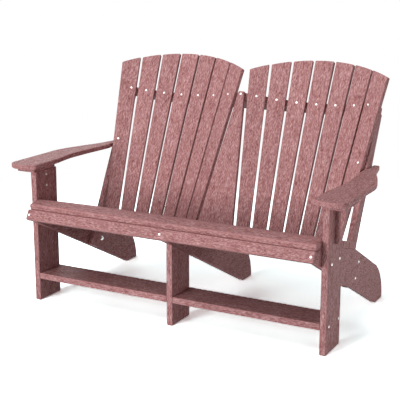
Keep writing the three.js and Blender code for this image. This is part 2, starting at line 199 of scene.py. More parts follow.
class Outline:
    """A closed outline, drawn point by point in millimetres."""

    def __init__(self, side: Side = Side.RIGHT, steps: int = 14) -> None:
        """Start an empty outline.

        Args:
            side: LEFT draws everything mirrored.
            steps: Straight pieces along each curve.
        """
        self.mirror = side.value
        self.steps = steps
        self.points: list[Vector] = []

    def to(self, x: float, y: float) -> "Outline":
        """Go straight to a point."""
        self.points.append(Vector((self.mirror * x, y)))
        return self

    def curve(self, first: Point, second: Point, end: Point) -> "Outline":
        """Go on with a curve that has two handles.

        Args:
            first: Handle at the start.
            second: Handle at the end.
            end: Last point of the curve.

        Returns:
            The outline itself.
        """
        start = self.points[-1]
        knots = [Vector((self.mirror * x, y, 0.0)) for x, y in (first, second, end)]
        line = interpolate_bezier(start.to_3d(), knots[0], knots[1], knots[2], self.steps + 1)
        self.points.extend(point.to_2d() for point in line[1:])
        return self

    def bend(self, handle: Point, end: Point) -> "Outline":
        """Go on with a curve that has one handle.

        Args:
            handle: The handle.
            end: Last point of the curve.

        Returns:
            The outline itself.
        """
        start = self.points[-1]
        x0 = self.mirror * start.x
        first = (x0 + (handle[0] - x0) * 2 / 3, start.y + (handle[1] - start.y) * 2 / 3)
        second = (end[0] + (handle[0] - end[0]) * 2 / 3, end[1] + (handle[1] - end[1]) * 2 / 3)
        return self.curve(first, second, end)

    def sweep(self, start: Station, end: Station) -> "Outline":
        """Go on with a curve from station to station.

        Args:
            start: Station where the outline now stands.
            end: Next station.

        Returns:
            The outline itself.
        """
        third = (end.along - start.along) / 3
        return self.curve((start.across + start.drift * third, start.along + third),
                          (end.across - end.drift * third, end.along - third),
                          (end.across, end.along))

    def arc(self, centre: Point, radius: float, start: float, end: float) -> "Outline":
        """Go round part of a circle, from one angle to another.

        Args:
            centre: Middle of the circle.
            radius: Its radius.
            start: First angle.
            end: Last angle.

        Returns:
            The outline itself.
        """
        count = 2 * self.steps
        for i in range(count + 1):
            angle = start + (end - start) * i / count
            self.to(centre[0] + radius * math.cos(angle), centre[1] + radius * math.sin(angle))
        return self


def rectangle(x0: float, y0: float, x1: float, y1: float) -> list[Vector]:
    """Outline of a plain board."""
    return [Vector((x0, y0)), Vector((x1, y0)), Vector((x1, y1)), Vector((x0, y1))]


# Shader wiring


class Signal:
    """A number that a shader socket gives; sums on it add Math nodes."""

    def __init__(self, desk: "Desk", socket: bpy.types.NodeSocket) -> None:
        """Wrap a socket of the tree that the desk is wiring."""
        self.desk = desk
        self.socket = socket

    def _math(self, operation: str, first: Number, second: Number) -> "Signal":
        """Add one Math node on two numbers."""
        settings = {"operation": operation}
        return self.desk.node("ShaderNodeMath", settings, {0: first, 1: second}).out()

    def __add__(self, other: Number) -> "Signal":
        """Sum."""
        return self._math("ADD", self, other)

    __radd__ = __add__

    def __sub__(self, other: Number) -> "Signal":
        """Difference."""
        return self._math("SUBTRACT", self, other)

    def __rsub__(self, other: Number) -> "Signal":
        """Difference from a number."""
        return self._math("SUBTRACT", other, self)

    def __mul__(self, other: Number) -> "Signal":
        """Product."""
        return self._math("MULTIPLY", self, other)

    __rmul__ = __mul__

    def between(self, low: float, high: float) -> "Signal":
        """Rise smoothly from 0 at low to 1 at high.

        Args:
            low: Value at which it starts to rise.
            high: Value at which it is full.

        Returns:
            A number from 0 to 1.
        """
        settings = {"interpolation_type": "SMOOTHSTEP"}
        values = {"Value": self, "From Min": low, "From Max": high}
        return self.desk.node("ShaderNodeMapRange", settings, values).out("Result")


class Placed:
    """A node that has been placed, with its outputs at hand."""

    def __init__(self, desk: "Desk", node: bpy.types.Node) -> None:
        """Keep the node and its desk."""
        self.desk = desk
        self.node = node

    def out(self, name: Union[str, int] = 0) -> Signal:
        """Give one of the node's outputs."""
        return Signal(self.desk, self.node.outputs[name])


@dataclass(frozen=True)
class Pattern:
    """A soft random pattern: features per metre along, across and through, and finer layers."""

    scale: Triple
    detail: float = 2.0
    roughness: float = 0.55


@dataclass(frozen=True)
class Band:
    """A stretch of a pattern's values, and how much of a colour it brings."""

    low: float
    high: float
    share: float

    def rising(self, pattern: Signal) -> Signal:
        """Bring the colour where the pattern is strong."""
        return pattern.between(self.low, self.high) * self.share

    def falling(self, pattern: Signal) -> Signal:
        """Bring the colour where the pattern is weak."""
        return (1.0 - pattern.between(self.low, self.high)) * self.share


class Desk:
    """The node tree of a material or of the world, wired in the order of the calls."""

    def __init__(self, tree: bpy.types.NodeTree) -> None:
        """Empty the tree and start on it."""
        self.tree = tree
        self.tree.nodes.clear()

    def node(
        self,
        kind: str,
        settings: dict[str, object] | None = None,
        values: dict[Union[str, int], object] | None = None,
    ) -> Placed:
        """Place any node.

        Args:
            kind: Type of the node.
            settings: Properties of the node, set before its sockets.
            values: For each socket, a Signal to link or a value to set.

        Returns:
            The placed node.
        """
        placed = self.tree.nodes.new(kind)
        for name, value in (settings or {}).items():
            setattr(placed, name, value)
        for name, value in (values or {}).items():
            if isinstance(value, Signal):
                self.tree.links.new(value.socket, placed.inputs[name])
            else:
                placed.inputs[name].default_value = value
        return Placed(self, placed)

    def stretched(self, place: Signal, scale: Sequence[float]) -> Signal:
        """Stretch a place differently along its three directions."""
        settings = {"operation": "MULTIPLY"}
        return self.node("ShaderNodeVectorMath", settings, {0: place, 1: tuple(scale)}).out()

    def moved(self, place: Signal, shift: Union[Signal, Sequence[float]]) -> Signal:
        """Move a place by a vector."""
        return self.node("ShaderNodeVectorMath", {"operation": "ADD"}, {0: place, 1: shift}).out()

    def across(self, amount: Signal) -> Signal:
        """Make a vector that points across the board."""
        return self.node("ShaderNodeCombineXYZ", None, {"Y": amount, "Z": amount}).out()

    def noise(self, place: Signal, pattern: Pattern) -> Signal:
        """Lay a random pattern.

        Args:
            place: Place to read it at, in metres.
            pattern: The pattern.

        Returns:
            A number around one half.
        """
        values = {"Vector": self.stretched(place, pattern.scale), "Scale": 1.0,
                  "Detail": pattern.detail, "Roughness": pattern.roughness}
        return self.node("ShaderNodeTexNoise", {"noise_dimensions": "3D"}, values).out(0)

    def blend(self, factor: Number, first: object, second: object, mode: str = "MIX") -> Signal:
        """Mix two colours, by a factor that says how much of the second."""
        settings = {"data_type": "RGBA", "blend_type": mode, "clamp_factor": True}
        return self.node("ShaderNodeMix", settings, {0: factor, 6: first, 7: second}).out(2)


def linear(red: int, green: int, blue: int) -> Colour:
    """Turn a colour as seen on a screen into linear light.

    Args:
        red: Red, from 0 to 255.
        green: Green, from 0 to 255.
        blue: Blue, from 0 to 255.

    Returns:
        The colour, with full cover.
    """

    def one(value: int) -> float:
        """Follow the screen's standard curve in one channel."""
        share = value / 255
        return share / 12.92 if share <= 0.04045 else ((share + 0.055) / 1.055) ** 2.4

    return one(red), one(green), one(blue), 1.0


def new_material(name: str) -> tuple[bpy.types.Material, Desk]:
    """Make an empty material and the desk that wires it.

    Args:
        name: Name of the material.

    Returns:
        The material and its desk.
    """
    material = bpy.data.materials.new(name)
    material.use_nodes = True
    return material, Desk(material.node_tree)


# Finishes


@dataclass(frozen=True)
class PolyLumber:
    """Through-coloured poly lumber, heathered along the board and brushed on its faces, with a
    painted highlight on its eased edges.
    """

    body: Tint = (172, 118, 118)
    dark: Tint = (106, 54, 55)
    pale: Tint = (203, 167, 167)
    # Painted highlight: a lighter colour on the eased edge faces, standing in for the light that
    # catches the rounded edges.
    edge_highlight: Tint = (180, 128, 128)
    edge_highlight_share: float = 0.35
    sway: Pattern = Pattern((6.0, 14.0, 14.0), detail=1.0)
    sway_reach: float = 0.008
    streak: Pattern = Pattern((26.0, 230.0, 230.0), detail=3.0, roughness=0.66)
    brush: Pattern = Pattern((70.0, 900.0, 900.0), detail=2.0, roughness=0.6)
    fleck: Pattern = Pattern((105.0, 290.0, 290.0), detail=3.0, roughness=0.6)
    mottle: Pattern = Pattern((22.0, 70.0, 70.0))
    heather: Pattern = Pattern((75.0, 480.0, 480.0), detail=2.0, roughness=0.6)
    batch: Pattern = Pattern((0.9, 2.5, 2.5), detail=1.0)
    dark_fleck: Band = Band(low=0.48, high=0.70, share=0.42)
    dark_mottle: Band = Band(low=0.48, high=0.74, share=0.30)
    dark_heather: Band = Band(low=0.34, high=0.52, share=0.58)
    pale_streak: Band = Band(low=0.46, high=0.74, share=0.45)
    pale_mottle: Band = Band(low=0.26, high=0.50, share=0.20)
    pale_heather: Band = Band(low=0.50, high=0.66, share=0.80)
    batch_tone: float = 0.30
    brush_tone: float = 0.22
    rough_low: float = 0.50
    rough_high: float = 0.72
    eased_polish: float = 0.06
    gloss: float = 0.10
    relief: float = 0.0006
    relief_strength: float = 0.55
    streak_height: float = 0.55
    brush_height: float = 0.45
    dark_sink: float = 0.35

    def build(self) -> bpy.types.Material:
        """Wire the material.

        Returns:
            A material that reads each board's own stock coordinates.
        """
        material, desk = new_material("heathered_lumber")
        flat = desk.node("ShaderNodeAttribute", {"attribute_name": "stock"}).out("Vector")
        eased = desk.node("ShaderNodeAttribute", {"attribute_name": "eased"}).out("Fac")

        sway = (desk.noise(flat, self.sway) - NOISE_MIDDLE) * self.sway_reach
        place = desk.moved(flat, desk.across(sway))
        streak = desk.noise(place, self.streak)
        brush = desk.noise(place, self.brush)
        fleck = desk.noise(place, self.fleck)
        mottle = desk.noise(place, self.mottle)
        heather = desk.noise(place, self.heather)
        batch = desk.noise(flat, self.batch)

        dark_share = (self.dark_fleck.rising(fleck) + self.dark_mottle.rising(mottle)
                      + self.dark_heather.falling(heather))
        pale_share = (self.pale_streak.rising(streak) + self.pale_mottle.falling(mottle)
                      + self.pale_heather.rising(heather))
        colour = desk.blend(pale_share, linear(*self.body), linear(*self.pale))
        colour = desk.blend(dark_share, colour, linear(*self.dark))
        # Painted highlight: the eased edge faces are blended towards the lighter edge colour.
        colour = desk.blend(eased * self.edge_highlight_share, colour, linear(*self.edge_highlight))
        tone = ((batch - NOISE_MIDDLE) * self.batch_tone
                + (brush - NOISE_MIDDLE) * self.brush_tone + 1.0)
        grey = desk.node("ShaderNodeCombineColor", None, {0: tone, 1: tone, 2: tone}).out()
        colour = desk.blend(1.0, colour, grey, "MULTIPLY")

        mean = streak * 0.5 + brush * 0.5
        worn = mean * (self.rough_high - self.rough_low) + self.rough_low
        height = (streak * self.streak_height + brush * self.brush_height
                  - dark_share * self.dark_sink)
        bump = desk.node("ShaderNodeBump", None, {
            "Strength": self.relief_strength,
            "Distance": self.relief,
            "Height": height,
        })
        shader = desk.node("ShaderNodeBsdfPrincipled", None, {
            "Base Color": colour,
            "Roughness": worn - eased * self.eased_polish,
            "Specular IOR Level": self.gloss,
            "Normal": bump.out(),
        })
        desk.node("ShaderNodeOutputMaterial", None, {"Surface": shader.out()})
        return material


@dataclass(frozen=True)
class Stainless:
    """Bright stainless steel with fine turning marks."""

    light: Tint = (250, 249, 247)
    dull: Tint = (232, 230, 227)
    marks: Pattern = Pattern((1400.0, 1400.0, 1400.0), detail=3.0)
    stains: Pattern = Pattern((260.0, 260.0, 260.0))
    stain_low: float = 0.35
    stain_high: float = 0.65
    mark_depth: float = 0.0001
    mark_strength: float = 0.25
    rough_low: float = 0.26
    rough_span: float = 0.18

    def build(self) -> bpy.types.Material:
        """Wire the material.

        Returns:
            A metal that reads Object coordinates.
        """
        material, desk = new_material("stainless_steel")
        place = desk.node("ShaderNodeTexCoord").out("Object")
        marks = desk.noise(place, self.marks)
        stained = desk.noise(place, self.stains).between(self.stain_low, self.stain_high)
        colour = desk.blend(stained, linear(*self.light), linear(*self.dull))
        bump = desk.node("ShaderNodeBump", None, {
            "Strength": self.mark_strength,
            "Distance": self.mark_depth,
            "Height": marks,
        })
        shader = desk.node("ShaderNodeBsdfPrincipled", None, {
            "Base Color": colour,
            "Roughness": marks * self.rough_span + self.rough_low,
            "Metallic": 1.0,
            "Normal": bump.out(),
        })
        desk.node("ShaderNodeOutputMaterial", None, {"Surface": shader.out()})
        return material


# Workshop and boards


def legs_front() -> float:
    """Depth at which the front faces of the legs stand in the frame."""
    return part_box("leg_front_left")[0].y


def stand(name: str, data: bpy.types.ID) -> bpy.types.Object:
    """Put a new object into the scene.

    Args:
        name: Its name.
        data: Its mesh, light or camera.

    Returns:
        The object.
    """
    made = bpy.data.objects.new(name, data)
    bpy.context.scene.collection.objects.link(made)
    return made


class Workshop:
    """Turns boards and fasteners into finished pieces of the object."""

    SEED = 41
    PATTERN_REACH = 20.0

    def __init__(self) -> None:
        """Mix the finishes and find the frame's place."""
        self.lumber = PolyLumber().build()
        self.steel = Stainless().build()
        self.random = random.Random(self.SEED)
        self.place = Matrix.Translation((0.0, legs_front(), 0.0)) @ Matrix.Scale(MM, 4)

    def cut(self, board: "Board") -> bpy.types.Object:
        """Make one board and let it stand for its node.

        Args:
            board: The board to make.

        Returns:
            The finished piece.
        """
        reach = self.PATTERN_REACH
        offset = Vector([self.random.uniform(-reach, reach) for _ in range(3)])
        mesh = board.mesh(self.place, offset)
        piece = self.finish(f"{board.node}_board", mesh, self.lumber)
        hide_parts(board.node)
        LOG.info("%s: %d faces", piece.name, len(mesh.polygons))
        return piece

    def drive(self, name: str, fastener: "Fastener", spots: Sequence[Matrix]) -> bpy.types.Object:
        """Put one kind of fastener at several places.

        Args:
            name: Name of the piece that holds them.
            fastener: The kind.
            spots: Places on the boards, with Z pointing out of each.

        Returns:
            The finished piece.
        """
        whole = bmesh.new()
        for spot in spots:
            fastener.add(whole, self.place @ spot)
        mesh = bpy.data.meshes.new(name)
        whole.to_mesh(mesh)
        whole.free()
        piece = self.finish(name, mesh, self.steel)
        LOG.info("%s: %d fasteners, %d faces", name, len(spots), len(mesh.polygons))
        return piece

    def finish(self, name: str, mesh: bpy.types.Mesh,
               material: bpy.types.Material) -> bpy.types.Object:
        """Dress a mesh, smooth it and let it ride on the frame.

        Args:
            name: Name of the piece.
            mesh: Its mesh, already in place.
            material: Its finish.

        Returns:
            The finished piece.
        """
        mesh.name = name
        mesh.materials.append(material)
        mesh.shade_smooth()
        piece = stand(name, mesh)
        even = piece.modifiers.new("even_shading", "WEIGHTED_NORMAL")
        even.keep_sharp = True
        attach(piece, BODY)
        return piece


@dataclass
class Board:
    """One board: an outline with eased edges, as thick as asked, from its plane upwards."""

    node: str
    outline: Sequence[Vector]
    thickness: float
    place: Matrix
    lift: float = 0.0
    grain: Grain = Grain.FIRST
    ease: float = 3.2
    ease_steps: int = 4

    def spot(self, x: float, y: float, face: Face = Face.TOP) -> Matrix:
        """Find a place on one of the broad faces, with Z pointing out of the board.

        Args:
            x: First coordinate in the outline's plane.
            y: Second coordinate.
            face: Which broad face.

        Returns:
            The place, in millimetres.
        """
        level = self.lift + (self.thickness if face is Face.TOP else 0.0)
        local = Matrix.Translation((x, y, level))
        if face is Face.BOTTOM:
            local = local @ Matrix.Rotation(math.pi, 4, "X")
        return self.place @ local

    def stock(self, local: Vector) -> Vector:
        """Place in the board as it was sawn: along the grain, across it, and through.

        Args:
            local: Place in the outline's coordinates, in millimetres.

        Returns:
            The place in the stock, in metres.
        """
        x, y, z = local
        if self.grain is Grain.SECOND:
            x, y = y, x
        elif self.grain is Grain.THROUGH:
            x, z = z, x
        return Vector((x, y, z)) * MM

    def mesh(self, world: Matrix, offset: Vector) -> bpy.types.Mesh:
        """Build the board's mesh.

        Args:
            world: Matrix from millimetres to the object's place in metres.
            offset: Where in the endless pattern this board was sawn from.

        Returns:
            The mesh, with its stock coordinates and a mark on the eased edges.
        """
        bm = bmesh.new()
        stock = bm.verts.layers.float_vector.new("stock")
        eased = bm.faces.layers.float.new("eased")
        face = bm.faces.new([bm.verts.new((x, y, self.lift)) for x, y in self.outline])
        grown = bmesh.ops.extrude_face_region(bm, geom=[face])["geom"]
        risen = [item for item in grown if isinstance(item, bmesh.types.BMVert)]
        bmesh.ops.translate(bm, verts=risen, vec=(0.0, 0.0, self.thickness))
        bmesh.ops.recalc_face_normals(bm, faces=bm.faces[:])
        sharp = [edge for edge in bm.edges if edge.calc_face_angle_signed(0.0) > SHARP_ANGLE]
        rounded = bmesh.ops.bevel(bm, geom=sharp, offset=self.ease, segments=self.ease_steps,
                                  affect="EDGES", profile=0.5, material=-1, clamp_overlap=True)
        for strip in rounded["faces"]:
            strip[eased] = 1.0
        for vert in bm.verts:
            vert[stock] = self.stock(vert.co) + offset
        bmesh.ops.transform(bm, matrix=world @ self.place, verts=bm.verts[:])
        bmesh.ops.recalc_face_normals(bm, faces=bm.faces[:])
        mesh = bpy.data.meshes.new(self.node)
        bm.to_mesh(mesh)
        bm.free()
        return mesh


def both_sides(left: Board, right: Board, places: Sequence[Point],
               outside: bool = True) -> list[Matrix]:
    """Find the same places on a left and a right board.

    Args:
        left: The left board, in a plane that faces the side.
        right: The right board.
        places: Places in the outline's coordinates.
        outside: Whether they lie on the faces that point away from the seat.

    Returns:
        The places on the left board, and then those on the right one.
    """
    faces = (Face.BOTTOM, Face.TOP) if outside else (Face.TOP, Face.BOTTOM)
    return [board.spot(*place, face)
            for board, face in zip((left, right), faces) for place in places]


# Fasteners


class Fastener:
    """Something turned from steel that sits on a board."""

    def add(self, whole: bmesh.types.BMesh, place: Matrix) -> None:
        """Add one of them to a mesh, at a place whose Z points out of the board."""
        raise NotImplementedError


@dataclass(frozen=True)
class Drum:
    """A short closed drum with an eased upper rim; its radius is taken over the corners."""

    radius: float
    low: float
    high: float
    ease: float
    sides: int
    rim_steps: int = 2

    def add(self, bm: bmesh.types.BMesh) -> bmesh.types.BMFace:
        """Add the drum to a mesh.

        Args:
            bm: Mesh to add it to.

        Returns:
            The top face.
        """
        ring = bmesh.ops.create_circle(bm, cap_ends=True, radius=self.radius,
                                       segments=self.sides)["verts"]
        bmesh.ops.translate(bm, verts=ring, vec=(0.0, 0.0, self.low))
        foot = ring[0].link_faces[0]
        grown = bmesh.ops.extrude_face_region(bm, geom=[foot], use_keep_orig=True)["geom"]
        risen = [item for item in grown if isinstance(item, bmesh.types.BMVert)]
        bmesh.ops.translate(bm, verts=risen, vec=(0.0, 0.0, self.high - self.low))
        top = next(item for item in grown if isinstance(item, bmesh.types.BMFace))
        bmesh.ops.bevel(bm, geom=list(top.edges), offset=self.ease, segments=self.rim_steps,
                        affect="EDGES", profile=0.5, material=-1)
        faces = {face for vert in bm.verts for face in vert.link_faces}
        return max(faces, key=lambda face: (face.calc_center_median().z, face.calc_area()))


@dataclass
class Screw(Fastener):
    """Low-domed screw with a star recess, driven down to the board."""

    head: Drum = Drum(radius=4.6, low=-0.6, high=1.1, ease=0.75, sides=24)
    recess: float = 1.9
    lobes: int = 6
    lobe_depth: float = 0.16
    deep: float = 0.9

    def add(self, whole: bmesh.types.BMesh, place: Matrix) -> None:
        """Add one screw head.

        Args:
            whole: Mesh that collects the fasteners.
            place: Where it sits, with Z pointing out of the board.
        """
        bm = bmesh.new()
        top = self.head.add(bm)
        rim = self.head.radius - self.head.ease
        bmesh.ops.inset_region(bm, faces=[top], thickness=rim - self.recess)
        for vert in top.verts:
            angle = math.atan2(vert.co.y, vert.co.x)
            vert.co.xy *= 1.0 + self.lobe_depth * math.cos(self.lobes * angle)
        grown = bmesh.ops.extrude_discrete_faces(bm, faces=[top])["faces"][0]
        bmesh.ops.translate(bm, verts=list(grown.verts), vec=(0.0, 0.0, -self.deep))
        join(whole, bm, place)


@dataclass
class BoltEnd(Fastener):
    """Washer, hexagon nut and the end of a bolt."""

    washer: Drum = Drum(radius=10.0, low=-0.4, high=1.6, ease=0.4, sides=32)
    nut: Drum = Drum(radius=7.4, low=1.4, high=6.6, ease=0.6, sides=6)
    thread: Drum = Drum(radius=3.2, low=6.4, high=9.0, ease=0.7, sides=20)

    def add(self, whole: bmesh.types.BMesh, place: Matrix) -> None:
        """Add one bolt end.

        Args:
            whole: Mesh that collects the fasteners.
            place: Where it sits, with Z pointing out of the board.
        """
        for drum in (self.washer, self.nut, self.thread):
            bm = bmesh.new()
            drum.add(bm)
            join(whole, bm, place)


def join(whole: bmesh.types.BMesh, part: bmesh.types.BMesh, place: Matrix) -> None:
    """Move a small mesh to its place and add it to a larger one.

    Args:
        whole: The larger mesh.
        part: The small mesh, which is used up.
        place: Its place.
    """
    bmesh.ops.recalc_face_normals(part, faces=part.faces[:])
    bmesh.ops.transform(part, matrix=place, verts=part.verts[:])
    carrier = bpy.data.meshes.new("carrier")
    part.to_mesh(carrier)
    part.free()
    whole.from_mesh(carrier)
    bpy.data.meshes.remove(carrier)


# Legs, stringers, apron, shelves


@dataclass
class FrontLegs:
    """Three upright boards; the middle one is cut off along the stringer above it."""

    screw_rows: tuple[Point, ...] = ((36.3, 334.4), (115.0, 336.4), (26.0, 104.6), (123.9, 104.6))
    bracket_screws: tuple[Point, ...] = ((68.7, 524.5), (68.7, 478.6))

    def boards(self) -> list[Board]:
        """Lay out the three legs.

        Returns:
            The left, the right and the middle leg.
        """
        size = SIZES
        outer = rectangle(0.0, 0.0, size.wide, size.leg_top - size.gap)

        def top_at(depth: float) -> float:
            """Height just under the stringer."""
            along = size.stringer_low - depth * math.sin(size.lean)
            return along / math.cos(size.lean) - size.gap

        middle = [Vector((0.0, 0.0)), Vector((size.wide, 0.0)),
                  Vector((size.wide, top_at(size.wide))), Vector((0.0, top_at(0.0)))]
        return [
            Board("leg_front_left", outer, size.board, FACING_SIDE, -size.leg_out, Grain.SECOND),
            Board("leg_front_right", outer, size.board, FACING_SIDE, size.leg_in, Grain.SECOND),
            Board("leg_front_center", middle, size.board, FACING_SIDE, -size.board / 2,
                  Grain.SECOND),
        ]

    def build(self, shop: Workshop) -> None:
        """Make the legs and their screws.

        Args:
            shop: Workshop that makes them.
        """
        left, right, middle = self.boards()
        for board in (left, right, middle):
            shop.cut(board)
        spots = both_sides(left, right, self.screw_rows)
        spots += both_sides(left, right, self.bracket_screws, outside=False)
        shop.drive("leg_screws", Screw(), spots)


@dataclass
class SideFrame:
    """Stringers that slope down to the back, with the apron across their front ends."""

    apron_low: float = 289.0
    apron_tall: float = 42.0
    apron_lift: float = 1.8
    apron_ease: float = 5.0
    foot_back: float = 712.0
    heel_depth: float = 705.0
    heel_up: float = 66.0
    heel_bow: float = 5.0
    heel_swell: float = 0.3
    tail_depth: float = 630.0
    bend_low: Point = (0.16, 0.38)
    bend_high: Point = (0.5, 0.72)
    seat_crest: float = 9.1
    screws: tuple[Point, ...] = ((400.9, 241.1), (369.8, 182.7))
    bolt: Point = (420.3, 166.2)

    def outline(self, seat: "Seat") -> list[Vector]:
        """Draw the stringer: front end, lower edge, foot, heel, upper edge, seat bed.

        Args:
            seat: The seat that it carries.

        Returns:
            The outline, seen from the side.
        """
        size = SIZES
        lean = size.lean
        front = size.apron_front + size.board + size.gap
        low_front = to_side(front, size.stringer_low)
        toe = size.stringer_low / math.sin(lean)

        def high_at(depth: float) -> float:
            """Height of the upper edge."""
            return (size.stringer_high - depth * math.sin(lean)) / math.cos(lean)

        bed_end = ((size.stringer_high / math.cos(lean) - seat.underside(0.0) + size.gap)
                   / (math.tan(lean) - math.tan(seat.slope)))
        nose = seat.nose_underside(front * math.cos(lean))
        end_high = ((nose - size.gap + front * math.sin(lean))
                    / (math.cos(lean) - math.sin(lean) * math.tan(seat.nose_tilt)))
        top_front = to_side(front, end_high)
        line = Outline()
        line.to(*low_front).to(toe, 0.0).to(self.foot_back, 0.0)
        line.bend((self.foot_back + self.heel_bow, self.heel_up * self.heel_swell),
                  (self.heel_depth, self.heel_up))
        tail_high = high_at(self.tail_depth)
        rise = tail_high - self.heel_up
        retreat = self.heel_depth - self.tail_depth
        handles = [(self.heel_depth - retreat * back, self.heel_up + rise * up)
                   for back, up in (self.bend_low, self.bend_high)]
        line.curve(*handles, (self.tail_depth, tail_high))
        line.to(bed_end, high_at(bed_end))
        line.to(self.seat_crest, seat.underside(self.seat_crest) - size.gap)
        line.to(*top_front)
        return line.points

    def build(self, shop: Workshop, seat: "Seat") -> None:
        """Make the stringers, the apron and their fasteners.

        Args:
            shop: Workshop that makes them.
            seat: The seat that they carry.
        """
        size = SIZES
        shape = self.outline(seat)
        trim = size.board - size.gap
        left = Board("stringer_left", shape, trim, FACING_SIDE, -size.leg_in + size.gap)
        middle = Board("stringer_center", shape, size.board, FACING_SIDE, -size.board / 2)
        right = Board("stringer_right", shape, trim, FACING_SIDE, size.stringer_in)
        for board in (left, middle, right):
            shop.cut(board)
        length = 2 * (size.leg_in - size.gap)
        # The lift brings the eased top edge back up to the nose slat, so no light shows there.
        apron_high = self.apron_low + self.apron_tall + self.apron_lift
        section = rectangle(size.apron_front, self.apron_low,
                            size.apron_front + size.board, apron_high)
        shop.cut(Board("apron_front", section, length, RECLINED_SIDE, -length / 2, Grain.THROUGH,
                       ease=self.apron_ease))

        facing = plane(AXIS_X, RECLINED_UP, slope_axis(size.lean) * size.apron_front)
        middle_up = self.apron_low + self.apron_tall / 2
        reach = size.leg_in - size.board / 2
        spots = [facing @ Matrix.Translation((x, middle_up, 0.0)) for x in (-reach, 0.0, reach)]
        shop.drive("apron_screws", Screw(), spots)
        shop.drive("stringer_screws", Screw(), both_sides(left, right, self.screws))
        bolts = both_sides(left, right, (self.bolt,), outside=False)
        shop.drive("stringer_bolts", BoltEnd(), bolts)


@dataclass
class Shelves:
    """Two shelf boards between the legs."""

    low: float = 93.75

    def build(self, shop: Workshop) -> None:
        """Make both shelves.

        Args:
            shop: Workshop that makes them.
        """
        size = SIZES
        near = size.board / 2 + size.gap
        far = size.leg_in - size.gap
        for side in Side:
            x0, x1 = sorted((side.value * near, side.value * far))
            shape = rectangle(x0, 0.0, x1, size.wide)
            shop.cut(Board(f"shelf_{side.tag}", shape, size.board, ON_FLOOR, self.low))


# Seat


@dataclass
class Seat:
    """Nose slat that tips forward, straight slats, and a slat contoured to the backs."""

    slope: float = math.radians(16.3)
    level: float = 435.1
    first: float = 23.2
    gap: float = 6.35
    count: int = 4
    nose_tilt: float = math.radians(7.0)
    nose_depth: float = -47.5
    nose_level: float = 399.0
    nose_ease: float = 6.5
    rear_side: float = 371.0
    rear_crown: float = 421.0
    rear_shoulder: float = 24.0

    def top(self, depth: float) -> float:
        """Height of the slats' top face."""
        return self.level - depth * math.tan(self.slope)

    def underside(self, depth: float) -> float:
        """Height of the slats' lower face."""
        return self.top(depth) - SIZES.board / math.cos(self.slope)

    def nose_underside(self, depth: float) -> float:
        """Height of the nose slat's lower face."""
        return self.nose_level + (depth - self.nose_depth) * math.tan(self.nose_tilt)

    def rear_outline(self, start: float, half: float) -> list[Vector]:
        """Draw the rear slat: straight in front, one outward arc behind each seat.

        Args:
            start: Depth of its front edge.
            half: Half its length.

        Returns:
            The outline, in the plane of the slats.
        """
        side_depth = (self.rear_side - start) / math.cos(self.slope)
        crown_depth = (self.rear_crown - start) / math.cos(self.slope)
        chord = SIZES.upright_in - SIZES.fan_middle - self.rear_shoulder
        rise = crown_depth - side_depth
        radius = (chord * chord + rise * rise) / (2 * rise)
        sweep = math.asin(chord / radius)
        line = Outline()
        line.to(-half, 0.0).to(half, 0.0).to(half, side_depth)
        for side in (1, -1):
            line.arc((side * SIZES.fan_middle, crown_depth - radius), radius,
                     math.pi / 2 - sweep, math.pi / 2 + sweep)
        line.to(-half, side_depth)
        return line.points

    def bed(self, depth: float) -> Matrix:
        """Place of a slat whose front top edge is at a depth."""
        return plane(AXIS_X, slope_axis(self.slope), Vector((0.0, depth, self.top(depth))))

    def build(self, shop: Workshop) -> None:
        """Make the seat's slats.

        Args:
            shop: Workshop that makes them.
        """
        size = SIZES
        half = size.leg_in - size.gap
        strip = rectangle(-half, 0.0, half, size.strip)
        nose = plane(AXIS_X, slope_axis(-self.nose_tilt),
                     Vector((0.0, self.nose_depth, self.nose_level)))
        shop.cut(Board("seat_slat_nose", strip, size.board, nose, ease=self.nose_ease))
        pitch = (size.strip + self.gap) * math.cos(self.slope)
        for i in range(self.count):
            place = self.bed(self.first + i * pitch)
            shop.cut(Board(f"seat_slat_{i + 1}", strip, size.board, place, -size.board))
        start = self.first + self.count * pitch
        shape = self.rear_outline(start, half)
        shop.cut(Board("seat_slat_rear", shape, size.board, self.bed(start), -size.board))


# Backs


